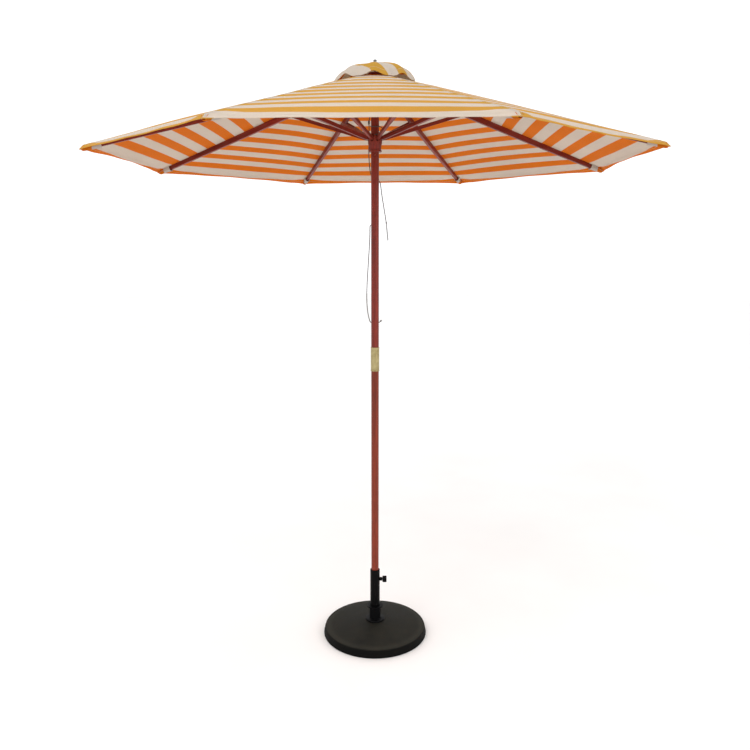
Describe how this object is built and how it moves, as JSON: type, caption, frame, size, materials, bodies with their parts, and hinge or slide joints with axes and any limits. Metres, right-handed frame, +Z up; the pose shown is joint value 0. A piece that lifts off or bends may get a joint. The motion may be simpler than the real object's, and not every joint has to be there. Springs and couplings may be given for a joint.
{
  "type": "garden parasol",
  "caption": "Wooden garden parasol with an eight-sided striped canopy, vent cap, cord lift, two-part pole and round weighted base with a clamp knob.",
  "frame": {"origin": "on the floor at the centre of the base's underside, on the pole's axis", "axes": "+Z up the pole; +X towards the clamp knob; the canopy's gores, not its ribs, face +X and +Y"},
  "size_m": [2.0326, 2.0326, 2.4165],
  "materials": {
    "pole_wood": "satin",
    "frame_wood": "satin",
    "brass": "satin",
    "steel": "satin",
    "base_stone": "satin",
    "black_plastic": "satin",
    "black_metal": "satin",
    "cord": "matte",
    "canopy_cloth": "matte"
  },
  "bodies": {
    "base": {"base_weight": "base_stone", "base_socket": "black_plastic", "base_tube": "black_metal", "lock_boss": "black_metal"},
    "bush": {"tube_liner": "black_plastic"},
    "lower_pole": {"pole_lower": "pole_wood", "pole_ferrule": "brass"},
    "upper_pole": {"pole_upper": "pole_wood", "hub": "frame_wood", "hub_wire": "steel", "finial": "steel", "vent_cap": "canopy_cloth", "pulley_axle": "steel", "hoist_cord": "cord", "tie_cord": "cord"},
    "pulley": {"pulley_wheel": "black_plastic"},
    "clamp_pad": {"lock_pad": "steel"},
    "clamp_knob": {"lock_screw": "steel", "lock_knob": "black_plastic"},
    "slider": {"runner": "frame_wood", "runner_wire": "steel", "runner_cord": "cord"},
    "knot": {"cord_knot": "cord", "pull_cord": "cord", "locking_pin": "steel"},
    "arm_1": {"rib_1": "frame_wood", "strut_pin_1": "brass", "canopy_1": "canopy_cloth"},
    "prop_1": {"strut_1": "frame_wood"},
    "arm_2": {"rib_2": "frame_wood", "strut_pin_2": "brass", "canopy_2": "canopy_cloth"},
    "prop_2": {"strut_2": "frame_wood"},
    "arm_3": {"rib_3": "frame_wood", "strut_pin_3": "brass", "canopy_3": "canopy_cloth"},
    "prop_3": {"strut_3": "frame_wood"},
    "arm_4": {"rib_4": "frame_wood", "strut_pin_4": "brass", "canopy_4": "canopy_cloth"},
    "prop_4": {"strut_4": "frame_wood"},
    "arm_5": {"rib_5": "frame_wood", "strut_pin_5": "brass", "canopy_5": "canopy_cloth"},
    "prop_5": {"strut_5": "frame_wood"},
    "arm_6": {"rib_6": "frame_wood", "strut_pin_6": "brass", "canopy_6": "canopy_cloth"},
    "prop_6": {"strut_6": "frame_wood"},
    "arm_7": {"rib_7": "frame_wood", "strut_pin_7": "brass", "canopy_7": "canopy_cloth"},
    "prop_7": {"strut_7": "frame_wood"},
    "arm_8": {"rib_8": "frame_wood", "strut_pin_8": "brass", "canopy_8": "canopy_cloth"},
    "prop_8": {"strut_8": "frame_wood"}
  },
  "joints": [
    {"name": "pole_swivel", "type": "hinge", "parent": "base", "child": "bush", "pos_m": [0, 0, 0.28], "axis": [0, 0, 1], "continuous": true},
    {"name": "pole_lift", "type": "slide", "parent": "bush", "child": "lower_pole", "axis": [0, 0, 1], "range_m": [0, 0.23]},
    {"name": "pole_split", "type": "slide", "parent": "lower_pole", "child": "upper_pole", "axis": [0, 0, 1], "range_m": [0, 0.05]},
    {"name": "clamp_turn", "type": "hinge", "parent": "clamp_pad", "child": "clamp_knob", "pos_m": [0.035, 0, 0.25], "axis": [1, 0, 0], "range_deg": [0, 1440]},
    {"name": "clamp_slide", "type": "slide", "parent": "base", "child": "clamp_pad", "axis": [1, 0, 0], "range_m": [0, 0.006]},
    {"name": "pulley_spin", "type": "hinge", "parent": "upper_pole", "child": "pulley", "pos_m": [0, 0, 2.215], "axis": [0, 1, 0], "continuous": true},
    {"name": "rib_1_fold", "type": "hinge", "parent": "upper_pole", "child": "arm_1", "pos_m": [0.02125, 0.0088, 2.352], "axis": [-0.3827, 0.9239, 0], "range_deg": [0, 67], "deforming": ["canopy_1", "tie_cord"]},
    {"name": "strut_1_fold", "type": "hinge", "parent": "arm_1", "child": "prop_1", "pos_m": [0.35569, 0.14733, 2.234], "axis": [-0.3827, 0.9239, 0], "range_deg": [-134, 0]},
    {"name": "rib_2_fold", "type": "hinge", "parent": "upper_pole", "child": "arm_2", "pos_m": [0.0088, 0.02125, 2.352], "axis": [-0.9239, 0.3827, 0], "range_deg": [0, 67], "deforming": ["canopy_2"]},
    {"name": "strut_2_fold", "type": "hinge", "parent": "arm_2", "child": "prop_2", "pos_m": [0.14733, 0.35569, 2.234], "axis": [-0.9239, 0.3827, 0], "range_deg": [-134, 0]},
    {"name": "rib_3_fold", "type": "hinge", "parent": "upper_pole", "child": "arm_3", "pos_m": [-0.0088, 0.02125, 2.352], "axis": [-0.9239, -0.3827, 0], "range_deg": [0, 67], "deforming": ["canopy_3"]},
    {"name": "strut_3_fold", "type": "hinge", "parent": "arm_3", "child": "prop_3", "pos_m": [-0.14733, 0.35569, 2.234], "axis": [-0.9239, -0.3827, 0], "range_deg": [-134, 0]},
    {"name": "rib_4_fold", "type": "hinge", "parent": "upper_pole", "child": "arm_4", "pos_m": [-0.02125, 0.0088, 2.352], "axis": [-0.3827, -0.9239, 0], "range_deg": [0, 67], "deforming": ["canopy_4"]},
    {"name": "strut_4_fold", "type": "hinge", "parent": "arm_4", "child": "prop_4", "pos_m": [-0.35569, 0.14733, 2.234], "axis": [-0.3827, -0.9239, 0], "range_deg": [-134, 0]},
    {"name": "rib_5_fold", "type": "hinge", "parent": "upper_pole", "child": "arm_5", "pos_m": [-0.02125, -0.0088, 2.352], "axis": [0.3827, -0.9239, 0], "range_deg": [0, 67], "deforming": ["canopy_5"]},
    {"name": "strut_5_fold", "type": "hinge", "parent": "arm_5", "child": "prop_5", "pos_m": [-0.35569, -0.14733, 2.234], "axis": [0.3827, -0.9239, 0], "range_deg": [-134, 0]},
    {"name": "rib_6_fold", "type": "hinge", "parent": "upper_pole", "child": "arm_6", "pos_m": [-0.0088, -0.02125, 2.352], "axis": [0.9239, -0.3827, 0], "range_deg": [0, 67], "deforming": ["canopy_6"]},
    {"name": "strut_6_fold", "type": "hinge", "parent": "arm_6", "child": "prop_6", "pos_m": [-0.14733, -0.35569, 2.234], "axis": [0.9239, -0.3827, 0], "range_deg": [-134, 0]},
    {"name": "rib_7_fold", "type": "hinge", "parent": "upper_pole", "child": "arm_7", "pos_m": [0.0088, -0.02125, 2.352], "axis": [0.9239, 0.3827, 0], "range_deg": [0, 67], "deforming": ["canopy_7"]},
    {"name": "strut_7_fold", "type": "hinge", "parent": "arm_7", "child": "prop_7", "pos_m": [0.14733, -0.35569, 2.234], "axis": [0.9239, 0.3827, 0], "range_deg": [-134, 0]},
    {"name": "rib_8_fold", "type": "hinge", "parent": "upper_pole", "child": "arm_8", "pos_m": [0.02125, -0.0088, 2.352], "axis": [0.3827, 0.9239, 0], "range_deg": [0, 67], "deforming": ["canopy_8"]},
    {"name": "strut_8_fold", "type": "hinge", "parent": "arm_8", "child": "prop_8", "pos_m": [0.35569, -0.14733, 2.234], "axis": [0.3827, 0.9239, 0], "range_deg": [-134, 0]},
    {"name": "runner_level", "type": "hinge", "parent": "prop_1", "child": "slider", "pos_m": [0.02125, 0.0088, 2.116], "axis": [-0.3827, 0.9239, 0], "range_deg": [0, 67], "deforming": ["runner_cord"]},
    {"name": "knot_slide", "type": "slide", "parent": "upper_pole", "child": "knot", "axis": [0, 0, -1], "range_m": [0, 0.52266], "deforming": ["hoist_cord", "pull_cord"]}
  ],
  "couplings": [
    {"joint": "clamp_slide", "follows": "clamp_turn", "m_per_rad": 0.00023873},
    {"joint": "strut_1_fold", "follows": "rib_1_fold", "ratio": -2},
    {"joint": "rib_2_fold", "follows": "rib_1_fold", "ratio": 1},
    {"joint": "strut_2_fold", "follows": "rib_1_fold", "ratio": -2},
    {"joint": "rib_3_fold", "follows": "rib_1_fold", "ratio": 1},
    {"joint": "strut_3_fold", "follows": "rib_1_fold", "ratio": -2},
    {"joint": "rib_4_fold", "follows": "rib_1_fold", "ratio": 1},
    {"joint": "strut_4_fold", "follows": "rib_1_fold", "ratio": -2},
    {"joint": "rib_5_fold", "follows": "rib_1_fold", "ratio": 1},
    {"joint": "strut_5_fold", "follows": "rib_1_fold", "ratio": -2},
    {"joint": "rib_6_fold", "follows": "rib_1_fold", "ratio": 1},
    {"joint": "strut_6_fold", "follows": "rib_1_fold", "ratio": -2},
    {"joint": "rib_7_fold", "follows": "rib_1_fold", "ratio": 1},
    {"joint": "strut_7_fold", "follows": "rib_1_fold", "ratio": -2},
    {"joint": "rib_8_fold", "follows": "rib_1_fold", "ratio": 1},
    {"joint": "strut_8_fold", "follows": "rib_1_fold", "ratio": -2},
    {"joint": "runner_level", "follows": "rib_1_fold", "ratio": 1},
    {"joint": "knot_slide", "follows": "rib_1_fold", "m_per_rad": 0.44696}
  ]
}
